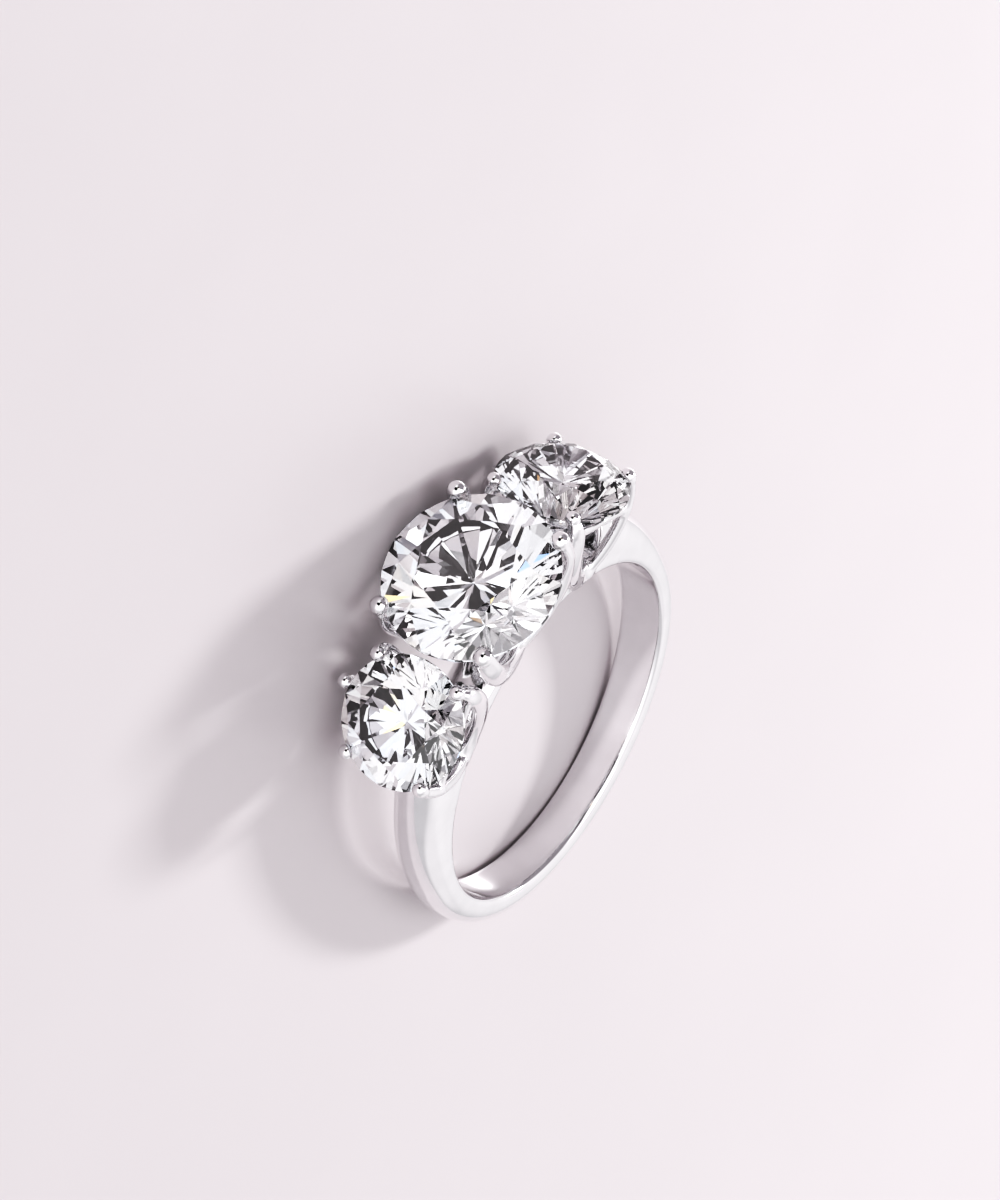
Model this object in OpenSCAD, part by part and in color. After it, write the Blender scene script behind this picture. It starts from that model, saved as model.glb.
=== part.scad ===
// A three stone ring in polished white metal: one large and two smaller round brilliants in a row,
// held by ball-tipped claws on a narrow domed band. It lies on its back side, as it rests on a table.
// The ring is drawn upright, with the row of stones along X, the finger's axis along Y and the
// centre stone at the top, and is laid down at the end. The origin of that drawing is the middle of
// the finger hole. Angles round the band are counted from its bottom, opposite the stones.

/* [Finger] */
// Inner diameter of the band
finger_d = 16.5; // [14:0.1:20]

/* [Band] */
// Thickness of the band at its bottom
band_t = 1.55; // [1.3:0.05:2]
// Thickness of the band at its sides
side_t = 1.4; // [1.2:0.05:1.8]
// Height of the shoulders over the finger hole, where they meet the outer claws
shoulder_t = 3.1; // [2.4:0.1:3.4]
// Thickness of the bridge under the stones
bridge_t = 1.1; // [0.9:0.05:1.3]
// Width of the band at its bottom
band_w = 2.05; // [1.8:0.05:2.6]
// Width of the band at its sides, shoulders and bridge
side_w = 2.4; // [2.2:0.05:3]
// Rounding of the band's edges on the finger side
edge_round = 0.35; // [0.2:0.05:0.5]

/* [Stones] */
// Diameter of the centre stone
centre_d = 8; // [7:0.1:8.6]
// Diameter of each side stone
side_d = 6; // [5.2:0.1:6.4]
// Height of the centre stone's girdle over the top of the finger hole
centre_rise = 6.3; // [6:0.1:7.2]
// Drop from the centre stone's girdle to the nearest edge of a side stone's girdle
side_drop = 0.7; // [0.6:0.05:1.2]
// Outward lean of the side stones, in degrees
side_lean = 34.8; // [28:0.2:38]
// Width of a stone's table as a share of its diameter
table_share = 0.57; // [0.52:0.01:0.62]
// Slope of the crown's main facets, in degrees
crown_slope = 34.5; // [32:0.5:36]
// Slope of the pavilion's main facets, in degrees
pavilion_slope = 42.2; // [40:0.2:43]
// Thickness of the girdle as a share of the diameter
girdle_share = 0.03; // [0.025:0.005:0.045]
// Turn of the facets about each stone's own axis, in degrees
facet_turn = 0; // [0:1:45]

/* [Claws] */
// Diameter of the centre stone's ball tips
centre_ball_d = 0.88; // [0.7:0.02:1]
// Diameter of the side stones' ball tips
side_ball_d = 0.72; // [0.6:0.02:0.9]
// Angle of the claws from the row of stones, in degrees
claw_angle = 41; // [38:1:46]
// Height of the centre stone's ball tips over the middle of its girdle
centre_lift = 0.42; // [0.36:0.02:0.5]
// Height of the side stones' ball tips over the middle of their girdles
side_lift = 0.3; // [0.24:0.02:0.4]
// Width of the centre claws where they are widest
centre_claw_w = 1; // [0.8:0.05:1.2]
// Width of the side claws where they are widest
side_claw_w = 0.76; // [0.6:0.02:0.9]
// Thickness of the centre claws
centre_claw_t = 0.6; // [0.5:0.02:0.7]
// Thickness of the side claws
side_claw_t = 0.52; // [0.44:0.02:0.6]
// Distance from the ring's middle plane to the feet of the centre claws
centre_foot_y = 1.15; // [1:0.05:1.4]
// Distance from the ring's middle plane to the feet of the side claws
side_foot_y = 1; // [0.9:0.05:1.1]
// Angle from the top of the ring to the feet of the side stones' outer claws, in degrees
outer_foot = 36.5; // [35:0.5:38]
// Angle from the top of the ring to the feet of the side stones' inner claws, in degrees
inner_foot = 28.5; // [26:0.5:30]
// Width of the rails that join the claws under the side stones
rail_w = 0.5; // [0.4:0.02:0.6]
// Gap between a stone and the seat cut into its claws
seat_gap = 0.04; // [0.03:0.01:0.08]

/* [Hidden] */

bore_r = finger_d / 2;
centre_r = centre_d / 2;
side_r = side_d / 2;
centre_h = bore_r + centre_rise;
side_x = centre_r + side_r * cos(side_lean);
side_h = centre_h - side_drop - side_r * sin(side_lean);

// The band's section widens from the finger side to this share of its thickness, then domes over
widest_share = 0.35;
// How far the band's drawn body reaches into the finger hole before the hole is cut
bore_sink = 0.4;
// Angle at which the shoulders end, beside the outer claws
shoulder_end = 180 - outer_foot - 3.5;
// Angle over which a shoulder's end face falls to the bridge
end_face = 2;
band_step = 4;
claw_rings = 11;
claw_sides = 10;
brilliant_fold = 8;
// Horizontal length of the star facets as a share of the way from the table to the girdle
star_share = 0.5;
// Length of the lower halves as a share of the way from the girdle to the culet
lower_share = 0.88;

metal = [0.84, 0.84, 0.86];
crystal = [0.93, 0.96, 0.98, 0.6];

// How far the middles of the ball tips stand outside the girdles
centre_reach = 0.12;
inner_reach = 0.15;
outer_reach = -0.05;
// Place of the rails along the side claws, from the tips to the feet
rail_at = 0.34;
// The spare claw behind the left stone, as its offset from the stone's middle toward the centre stone
spare_offset = 0.2 * side_r;
spare_ball_d = 0.94 * side_ball_d;

// The lying pose: the ring rests on the girdle of its centre stone and on the bottom of the band
rest_y = centre_r;
rest_z = centre_h - girdle_half(centre_r);
rest_lean = min([for (p = band_section(0)) atan((rest_y - p[0]) / (rest_z + p[1]))]);
floor_z = rest_y * cos(rest_lean) - rest_z * sin(rest_lean);
lie_top = (centre_h + crown_top(centre_r)) * cos(rest_lean) + table_share * centre_r * sin(rest_lean);
lie_bottom = min([for (p = band_section(0)) p[0] * sin(rest_lean) - p[1] * cos(rest_lean)]);
middle_y = (lie_top + lie_bottom) / 2;

function mix(a, b, s) = a + (b - a) * s;
function unit(v) = v / norm(v);
function ease(s) = s * s * (3 - 2 * s);
function bezier(p, s) = pow(1 - s, 3) * p[0] + 3 * pow(1 - s, 2) * s * p[1]
    + 3 * (1 - s) * s * s * p[2] + pow(s, 3) * p[3];
function bezier_run(p, s) = pow(1 - s, 2) * (p[1] - p[0]) + 2 * (1 - s) * s * (p[2] - p[1])
    + s * s * (p[3] - p[2]);

// Middles of the ball tips
function centre_tip(sx, sy) = let (rho = centre_r + centre_reach)
    head_point(0, sx * rho * cos(claw_angle), sy * rho * sin(claw_angle), centre_lift);
function side_tip(side, in_out, sy) = let (rho = side_r + (in_out > 0 ? outer_reach : inner_reach))
    head_point(side, in_out * rho * cos(claw_angle), sy * rho * sin(claw_angle), side_lift);

// A point in the frame of a stone's head: side is -1, 0 or 1 for the left, centre and right stone,
// out points away from the centre stone, y is the finger's axis and up is the stone's own axis
function head_point(side, out, y, up) = side == 0
    ? [out, y, centre_h + up]
    : [side * (side_x + out * cos(side_lean) + up * sin(side_lean)), y,
        side_h - out * sin(side_lean) + up * cos(side_lean)];

// A point over the bridge at an angle from the top of the ring
function over_bridge(side, angle, y, height) =
    [side * (bore_r + height) * sin(angle), y, (bore_r + height) * cos(angle)];

// Closed skin over rings of points; a loop of rings joins its last ring to its first
module skin(rings, loop = false) {
    n = len(rings[0]);
    m = len(rings);
    last = loop ? m - 1 : m - 2;
    sides = [for (i = [0:last], j = [0:n - 1])
        let (a = i * n, b = ((i + 1) % m) * n, k = (j + 1) % n)
        each [[a + j, b + j, b + k], [a + j, b + k, a + k]]];
    caps = loop ? [] : [[for (j = [0:n - 1]) j], [for (j = [n - 1:-1:0]) (m - 1) * n + j]];
    polyhedron(points = [for (r = rings, p = r) p], faces = concat(sides, caps), convexity = 6);
}

// Thickness and width of the band at an angle from its bottom, from 0 to 180
function thickness(angle) = angle <= 90
    ? mix(band_t, side_t, ease(angle / 90))
    : angle <= shoulder_end
    ? mix(side_t, shoulder_t, pow((angle - 90) / (shoulder_end - 90), 1.6))
    : bridge_t;
function width(angle) = mix(band_w, side_w, ease(min(angle, 90) / 90));

// The band's section at an angle, as points of width and distance from the finger's axis
function band_section(angle) =
    let (t = thickness(angle), w = width(angle) / 2, flat = w - edge_round, wide = widest_share * t,
        half = concat(
            [[flat, bore_r - bore_sink], [flat + 0.15 * edge_round, bore_r + 0.1 * wide],
                [flat + 0.7 * edge_round, bore_r + 0.35 * wide]],
            [for (a = [0:18:72]) [w * pow(cos(a), 0.8), bore_r + wide + (t - wide) * pow(sin(a), 0.9)]]))
    concat(half, [[0, bore_r + t]], [for (i = [len(half) - 1:-1:0]) [-half[i][0], half[i][1]]]);

function band_angles() = concat([for (a = [0:band_step:shoulder_end - band_step / 2]) a],
    [shoulder_end], [for (a = [shoulder_end + end_face:band_step:180 - band_step / 2]) a], [180]);

module band() {
    half = band_angles();
    turns = concat(half, [for (i = [len(half) - 2:-1:1]) 360 - half[i]]);
    skin([for (a = turns) [for (p = band_section(a <= 180 ? a : 360 - a))
        [p[1] * sin(a), -p[0], -p[1] * cos(a)]]], loop = true);
}

// A swept bar of oval section: widths and thicknesses are given at its start, middle and end,
// and its thickness points from face_from at the start to face_to at the end
module bar(route, widths, thicks, face_from, face_to) {
    skin([for (i = [0:claw_rings - 1])
        let (s = i / (claw_rings - 1), c = bezier(route, s), run = unit(bezier_run(route, s)),
            raw = mix(face_from, face_to, s), face = unit(raw - (raw * run) * run),
            across = cross(run, face),
            w = (widths[0] * pow(1 - s, 2) + 2 * widths[1] * s * (1 - s) + widths[2] * s * s) / 2,
            t = (thicks[0] * pow(1 - s, 2) + 2 * thicks[1] * s * (1 - s) + thicks[2] * s * s) / 2)
        [for (j = [0:claw_sides - 1]) let (a = -j * 360 / claw_sides)
            c + w * cos(a) * across + t * sin(a) * face]]);
}

// One claw of the centre stone bows outward below its ball and then sweeps in to the bridge under
// the stone's middle, where it meets the claw beside it
function centre_route(sx, sy) =
    let (tip = centre_tip(sx, sy), foot = bore_r + bridge_t - 0.15)
    [tip,
        [1.1 * tip[0], 1.19 * tip[1], centre_h - 0.45 * centre_r],
        [sx * 0.28 * centre_r, sy * 1.32 * centre_foot_y, mix(foot, centre_h, 0.02)],
        [-0.15 * sx, sy * centre_foot_y, foot]];

// A claw of a side stone: in_out is 1 for the outer claws and -1 for the inner ones
function side_route(side, in_out, sy) =
    let (rho = side_r + (in_out > 0 ? outer_reach : inner_reach), out = rho * cos(claw_angle),
        y = rho * sin(claw_angle), angle = in_out > 0 ? outer_foot : inner_foot)
    [side_tip(side, in_out, sy),
        head_point(side, in_out * (in_out > 0 ? 1.16 : 0.95) * out, sy * 1.22 * y, -0.46 * side_r),
        in_out > 0
            ? head_point(side, out, sy * 0.89 * y, -1.13 * side_r)
            : over_bridge(side, angle - 3, sy * 1.6 * side_foot_y, 0.82 * side_r),
        over_bridge(side, angle, sy * side_foot_y, 0.45)];

// The spare claw behind the left stone rises from the middle of the back rail
function spare_route() =
    let (foot = (bezier(side_route(-1, 1, 1), rail_at) + bezier(side_route(-1, -1, 1), rail_at)) / 2,
        tip = head_point(-1, -spare_offset, side_r + centre_reach, side_lift),
        below = head_point(-1, -spare_offset, side_r + centre_reach + 0.1, side_lift - 0.8))
    [tip, below, mix(foot, tip, 0.25) + [0, 0.35, 0], foot];

module claw(route, ball_d, w, t, foot_w, head_axis) {
    away = unit(route[0] - head_axis);
    bar(route, [0.74 * ball_d, 1.3 * w, foot_w], [0.7 * ball_d, t, t], away, [0, sign(route[0][1]), 0]);
    translate(route[0]) sphere(d = ball_d, $fn = 16);
}

module centre_claws() {
    for (sx = [-1, 1], sy = [-1, 1])
        claw(centre_route(sx, sy), centre_ball_d, centre_claw_w, centre_claw_t, 0.9 * centre_claw_w,
            head_point(0, 0, 0, centre_lift));
}

module side_claws(side) {
    for (in_out = [-1, 1], sy = [-1, 1])
        claw(side_route(side, in_out, sy), side_ball_d, side_claw_w, side_claw_t, side_claw_w,
            head_point(side, 0, 0, side_lift));
    for (sy = [-1, 1]) {
        a = bezier(side_route(side, -1, sy), rail_at);
        b = bezier(side_route(side, 1, sy), rail_at);
        bar([a, mix(a, b, 1 / 3), mix(a, b, 2 / 3), b], [rail_w, rail_w, rail_w],
            [0.8 * rail_w, 0.8 * rail_w, 0.8 * rail_w], [0, sy, 0], [0, sy, 0]);
    }
}

module spare_claw() {
    claw(spare_route(), spare_ball_d, 0.8 * side_claw_w, 0.8 * side_claw_t, 0.7 * side_claw_w,
        head_point(-1, 0, 0, side_lift));
}

// Heights of a round brilliant over the middle of its girdle
function girdle_half(r) = girdle_share * r;
function crown_top(r) = girdle_half(r) + r * (1 - table_share) * tan(crown_slope);

// A round brilliant of radius r, with the gap added all round. The main facets are planes at the
// named slopes, and every other corner lies where those planes put it.
module brilliant(r, gap = 0) {
    n = brilliant_fold;
    step = 360 / n;
    rg = r + gap;
    top = girdle_half(r) + 0.5 * gap;
    table = table_share * r;
    crown = tan(crown_slope);
    pavilion = tan(pavilion_slope);
    star = mix(table * cos(step / 2), r, star_share);
    low = (1 - lower_share) * r;
    // Height of the crown's main planes and of the pavilion's, at a distance along their slope
    function crown_z(x) = top + (rg - x) * crown;
    function pavilion_z(x) = -top - (rg - x) * pavilion;
    star_z = crown_z(star * cos(step / 2));
    low_z = pavilion_z(low * cos(step / 2));
    // The upper and lower halves dip into the girdle between its high points
    chord = rg * cos(step / 4);
    dip_up = (rg - chord) * (star_z - top) / (chord - star * cos(step / 4));
    dip_low = (rg - chord) * (-top - low_z) / (chord - low * cos(step / 4));
    function ring(radius, z, offset, count) = [for (i = [0:count - 1])
        let (a = facet_turn + offset + i * 360 / count) [radius * cos(a), radius * sin(a), z]];
    points = concat(
        ring(table, crown_z(table), 0, n),
        ring(star, star_z, step / 2, n),
        ring(rg, top, 0, 2 * n),
        ring(rg, top - dip_up, step / 4, 2 * n),
        ring(rg, -top, 0, 2 * n),
        ring(rg, -top + dip_low, step / 4, 2 * n),
        ring(low, low_z, step / 2, n),
        [[0, 0, pavilion_z(0)]]);
    t0 = 0;
    s0 = n;
    u0 = 2 * n;
    v0 = 4 * n;
    l0 = 6 * n;
    m0 = 8 * n;
    q0 = 10 * n;
    culet = 11 * n;
    faces = concat(
        [[for (i = [n - 1:-1:0]) t0 + i]],
        [for (i = [0:n - 1]) let (k = (i + 1) % n, h = (i + n - 1) % n, g = (2 * i + 2) % (2 * n))
            each [
                [t0 + i, t0 + k, s0 + i],
                [t0 + i, s0 + i, u0 + 2 * i, s0 + h],
                [s0 + i, u0 + 2 * i + 1, v0 + 2 * i, u0 + 2 * i],
                [s0 + i, u0 + g, v0 + 2 * i + 1, u0 + 2 * i + 1],
                [q0 + i, l0 + 2 * i, m0 + 2 * i, l0 + 2 * i + 1],
                [q0 + i, l0 + 2 * i + 1, m0 + 2 * i + 1, l0 + g],
                [culet, q0 + h, l0 + 2 * i, q0 + i]]],
        [for (i = [0:2 * n - 1]) let (k = (i + 1) % (2 * n))
            each [[u0 + i, v0 + i, m0 + i, l0 + i], [v0 + i, u0 + k, l0 + k, m0 + i]]]);
    polyhedron(points = points, faces = faces, convexity = 4);
}

// Puts a stone, drawn about its own girdle, into its head
module in_head(side) {
    translate(head_point(side, 0, 0, 0)) rotate([0, side * side_lean, 0]) children();
}

// Lays the upright ring on its back side, with its box's middle over the origin
module laid() {
    translate([0, -middle_y, floor_z]) rotate([rest_lean - 90, 0, 0]) children();
}

module setting() {
    color(metal) laid() difference() {
        union() {
            band();
            centre_claws();
            side_claws(-1);
            side_claws(1);
            spare_claw();
        }
        rotate([90, 0, 0]) cylinder(r = bore_r, h = 4 * side_w, center = true, $fn = 128);
        in_head(0) brilliant(centre_r, seat_gap);
        for (side = [-1, 1]) in_head(side) brilliant(side_r, seat_gap);
    }
}

module centre_stone() {
    color(crystal) laid() in_head(0) brilliant(centre_r);
}

module left_stone() {
    color(crystal) laid() in_head(-1) brilliant(side_r);
}

module right_stone() {
    color(crystal) laid() in_head(1) brilliant(side_r);
}

setting();
centre_stone();
left_stone();
right_stone();
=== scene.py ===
"""A three stone ring in white metal, lying on its back rim on a pale floor.

The metal is one smooth skin. Its band, claws, ball tips and rails are drawn as solids whose
surfaces run into each other, and the skin is laid over them by a net of square cells. The stones
keep the facets they have in the frame and get their material here. Lengths in the functions are
millimetres of the ring standing upright: x along the row of stones, y along the finger, z up to the
centre stone.
"""

import math

import bpy
import numpy as np
from bpy.props import FloatProperty, FloatVectorProperty, PointerProperty
from mathutils import Matrix, Vector


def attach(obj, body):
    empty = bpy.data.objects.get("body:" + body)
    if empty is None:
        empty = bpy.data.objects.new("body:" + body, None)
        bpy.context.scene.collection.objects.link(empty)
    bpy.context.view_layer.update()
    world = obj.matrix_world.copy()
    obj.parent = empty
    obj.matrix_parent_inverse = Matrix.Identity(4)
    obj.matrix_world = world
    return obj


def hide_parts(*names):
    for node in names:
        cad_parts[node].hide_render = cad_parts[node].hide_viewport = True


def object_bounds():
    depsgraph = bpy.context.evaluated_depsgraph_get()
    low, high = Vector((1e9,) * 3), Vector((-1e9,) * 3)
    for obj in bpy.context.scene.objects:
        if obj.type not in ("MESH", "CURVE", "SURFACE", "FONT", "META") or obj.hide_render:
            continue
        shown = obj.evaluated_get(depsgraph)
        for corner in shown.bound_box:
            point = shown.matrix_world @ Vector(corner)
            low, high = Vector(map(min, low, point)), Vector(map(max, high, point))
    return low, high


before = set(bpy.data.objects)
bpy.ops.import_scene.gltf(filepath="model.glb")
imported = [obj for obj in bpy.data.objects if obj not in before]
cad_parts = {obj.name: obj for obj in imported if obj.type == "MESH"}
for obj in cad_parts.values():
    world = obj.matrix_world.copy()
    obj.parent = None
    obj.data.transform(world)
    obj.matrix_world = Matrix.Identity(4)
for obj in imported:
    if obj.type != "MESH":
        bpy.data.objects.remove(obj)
cad_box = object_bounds()

bl_info = {
    "name": "Three Stone Ring",
    "version": (1, 0, 0),
    "blender": (4, 5, 0),
    "location": "View3D > Sidebar > Ring",
    "description": "Builds a three stone ring around its packed frame",
    "category": "Object",
}

MM = 0.001


def length(name, description, value, low, high):
    """A length in millimetres that the sidebar shows."""
    return FloatProperty(name=name, description=description + ", in millimetres", default=value,
                         min=low, max=high)


class RingSizes(bpy.types.PropertyGroup):
    """Sizes of the ring, in millimetres, as the frame has them."""

    finger_d: length("Finger hole", "Diameter of the finger hole", 16.5, 14.0, 20.0)
    band_t: length("Band thickness", "Thickness of the band at its bottom", 1.55, 1.2, 2.2)
    side_t: length("Side thickness", "Thickness of the band beside the finger", 1.4, 1.1, 2.2)
    shoulder_t: length("Shoulder thickness", "Thickness where the shoulders end", 3.1, 2.2, 3.4)
    bridge_t: length("Bridge thickness", "Thickness of the bridge under the stones", 1.1, 0.8, 1.4)
    band_w: length("Band width", "Width of the band at its bottom", 2.05, 1.6, 3.0)
    side_w: length("Side width", "Width of the band beside the finger", 2.4, 1.8, 3.2)
    centre_d: length("Centre stone", "Diameter of the centre stone", 8.0, 7.0, 8.6)
    side_d: length("Side stones", "Diameter of each side stone", 6.0, 5.4, 6.4)
    centre_rise: length("Centre rise", "Height of the centre girdle over the hole", 6.3, 5.8, 7.0)
    side_drop: length("Side drop", "Drop of the side stones below the centre one", 0.7, 0.5, 1.0)
    centre_ball_d: length("Centre balls", "Diameter of the balls on the centre claws",
                          0.88, 0.7, 1.0)
    side_ball_d: length("Side balls", "Diameter of the balls on the side claws", 0.72, 0.6, 0.9)
    centre_claw_w: length("Centre claw width", "Width of the centre claws", 1.0, 0.8, 1.2)
    centre_claw_t: length("Centre claw depth", "Depth of the centre claws", 0.6, 0.5, 0.8)
    inner_claw_w: length("Inner claw width", "Width of the side claws by the centre stone",
                         0.85, 0.6, 1.0)
    inner_claw_t: length("Inner claw depth", "Depth of the side claws by the centre stone",
                         0.5, 0.4, 0.7)
    outer_claw_w: length("Outer claw width", "Width of the side claws by the shoulders",
                         0.5, 0.4, 0.7)
    outer_claw_t: length("Outer claw depth", "Depth of the side claws by the shoulders",
                         0.5, 0.4, 0.7)
    rail_w: length("Rail width", "Width of the rails under the side stones", 0.5, 0.4, 0.6)
    net: length("Net cell", "Size of the cells that the metal skin is laid with", 0.1, 0.08, 0.2)


# Slopes of the round brilliant and the lean of the side stones, in degrees
SIDE_LEAN = 34.8
CROWN_SLOPE = 34.5
PAVILION_SLOPE = 42.2

# Shares of a stone's radius
TABLE_SHARE = 0.57
GIRDLE_SHARE = 0.03

# Where the claws stand round their stones, in degrees from the row of stones
CLAW_ANGLE = 41.0

# Heights of the ball tips over the girdles, and how far they stand outside them
CENTRE_LIFT = 0.42
SIDE_LIFT = 0.3
CENTRE_REACH = 0.12
INNER_REACH = 0.15
OUTER_REACH = -0.05

# A centre claw's upper bend: shares of its tip's distance outward and across, then the height as a
# share of the stone's radius. Its lower bend: shares of the stone's radius outward, of the foot's
# distance across and of the rise from foot to girdle
CENTRE_BOW = (1.1, 1.19, -0.45)
CENTRE_LOW = (0.28, 1.32, 0.02)

# A centre claw's foot: how far out it is, which is past the middle of the row, its distance across
# the finger, and how deep it sits in the bridge
CENTRE_FOOT_OUT = -0.15
CENTRE_FOOT_ACROSS = 1.15
CENTRE_FOOT_SUNK = 0.15

# The side claws' bends in the frame of their stone's head: shares of the tip's distance outward and
# across, then the height as a share of the stone's radius
OUTER_BOW = (1.22, 1.1, -0.46)
OUTER_LOW = (1.0, 0.89, -1.13)
INNER_BOW = (-1.13, 1.44, -0.05)

# The side claws' feet and the inner ones' last bend: the angle from the middle of the row in
# degrees, the distance across the finger and the height over the finger hole
OUTER_FOOT = (36.5, 0.95, 0.35)
INNER_LOW = (19.5, 1.32, 0.36)
INNER_FOOT = (36.5, 0.85, 0.4)

# The spare claw's tip outward, as a share of the stone's radius. Its upper bend: how far behind the
# tip it is, and how far up from it. Its lower bend: a share of the way from foot to tip, and how
# far behind that it is
SPARE_OUT = -0.2
SPARE_BOW = (0.1, -0.8)
SPARE_LOW = (0.25, 0.35)

# A claw's width and depth at its tip, about its middle and at its foot, as shares of its size
CENTRE_WIDTHS = (1.0, 1.35, 0.9)
CENTRE_DEPTHS = (0.92, 1.17, 1.0)
INNER_WIDTHS = (0.75, 1.45, 1.05)
INNER_DEPTHS = (0.9, 1.24, 1.0)
OUTER_WIDTHS = (1.04, 1.1, 0.96)
OUTER_DEPTHS = (1.0, 1.3, 1.0)
SPARE_WIDTHS = (1.1, 1.2, 1.0)
SPARE_DEPTHS = (1.0, 1.1, 0.8)
SPARE_BALL_SHARE = 0.94

# A claw's bar starts this far outside its ball's middle, a soft one and a crisp one, and this far
# below it. Its face has turned across the finger at this share of its run, and its ends are rounded
# over this length
SOFT_BAR_OUT = 0.08
CRISP_BAR_OUT = 0.14
BAR_DROP = 0.22
TURNED_AT = 0.45
CAP = 0.3

# The rails meet the outer and the inner claws at these shares of the claws' run from the tip, and
# keep this width and depth, as shares of their size
RAIL_AT = 0.34
INNER_RAIL_AT = 0.2
RAIL_WIDTHS = (1.0, 1.0, 1.0)
RAIL_DEPTHS = (0.8, 0.8, 0.8)

# The band's section: its widest place as a share of its thickness, and the powers of its curve
WIDEST_SHARE = 0.35
WIDTH_POWER = 2.5
DOME_POWER = 2.22
LEVEL_POWER = 2.35

# The shoulders: where they end and where they are cut off, in degrees from the band's bottom, the
# power of their rise, the most of it, and how far the bridge runs on into them
SHOULDER_END = 140.0
SHOULDER_CUT = 141.0
SHOULDER_POWER = 1.6
SHOULDER_MOST = 1.1
BRIDGE_LAP = 2.0

# The band's section in the frame: how wide its rounded edge is at the finger hole, that edge's
# points as shares of its width and of the widest place's height, and the powers and the angles of
# the dome
RIM_EDGE = 0.35
RIM_EDGE_POINTS = ((0.0, 0.1), (0.7, 0.35))
RIM_POWERS = (0.8, 0.9)
RIM_ANGLES = range(0, 73, 18)

# Lengths over which surfaces run into each other or an edge is rounded
EDGE_BLEND = 0.3
INNER_BLEND = 0.25
OUTER_BLEND = 0.2
RAIL_BLEND = 0.15
SEAT_BLEND = 0.1
BALL_BLEND = 0.05
BRIDGE_BLEND = 0.05
BORE_BLEND = 0.03

# The gap between a stone and its seat
SEAT_GAP = 0.04

# How far round a solid its own distance is asked for, and the distance taken beyond that
NEAR = 0.6
FAR = 9.0

# Places along a bar that give its box, places tried for the nearest one, and how often that one is
# corrected. Within the last share of its section, a bar's half depth stands for the distance
BOX_PLACES = 25
TRIED_PLACES = 17
CORRECTIONS = 4
CORE = 0.2

# The least slope that the band's distance is divided by, and what is divided by in place of nothing
LEAST_SLOPE = 0.35
TINY = 1e-6

# The space that the net of cells fills, round the upright ring
NET_LOW = (-10.0, -4.6, -10.4)
NET_HIGH = (10.0, 4.6, 16.4)

# A block of the net: its points a side, how near the metal it is filled point by point, in its own
# sides, and how many blocks are filled at once
BLOCK = 4
BLOCK_NEAR = 1.4
BATCH = 3000

# Settling the net: its rounds, how many of them slide the points too and by what share of the way,
# the longest move onto the surface, the length that slopes are taken over and the least square of
# a slope
ROUNDS = 5
SLIDES = 3
SLIDE_SHARE = 0.5
LONGEST_MOVE = 0.06
SLOPE_STEP = 0.004
LEAST_SQUARE = 0.25

# The corners of a cell and the pairs of them that its edges join
CORNERS = np.array([[i, j, k] for i in (0, 1) for j in (0, 1) for k in (0, 1)])
EDGES = [(a, b) for a in range(8) for b in range(a + 1, 8)
         if np.abs(CORNERS[a] - CORNERS[b]).sum() == 1]


def mix(a, b, s):
    """What lies the share s of the way from a to b."""
    return a + (b - a) * s


def ease(s):
    """A share that starts and ends its rise softly."""
    return s * s * (3 - 2 * s)


def smooth_join(a, b, blend):
    """Distance to two solids whose surfaces run into each other over a length of blend."""
    h = np.maximum(blend - np.abs(a - b), 0) / blend
    return np.minimum(a, b) - h * h * blend / 4


def smooth_cut(a, b, blend):
    """Distance to what two solids share, with the edge between them rounded over blend."""
    h = np.maximum(blend - np.abs(a - b), 0) / blend
    return np.maximum(a, b) + h * h * blend / 4


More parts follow.
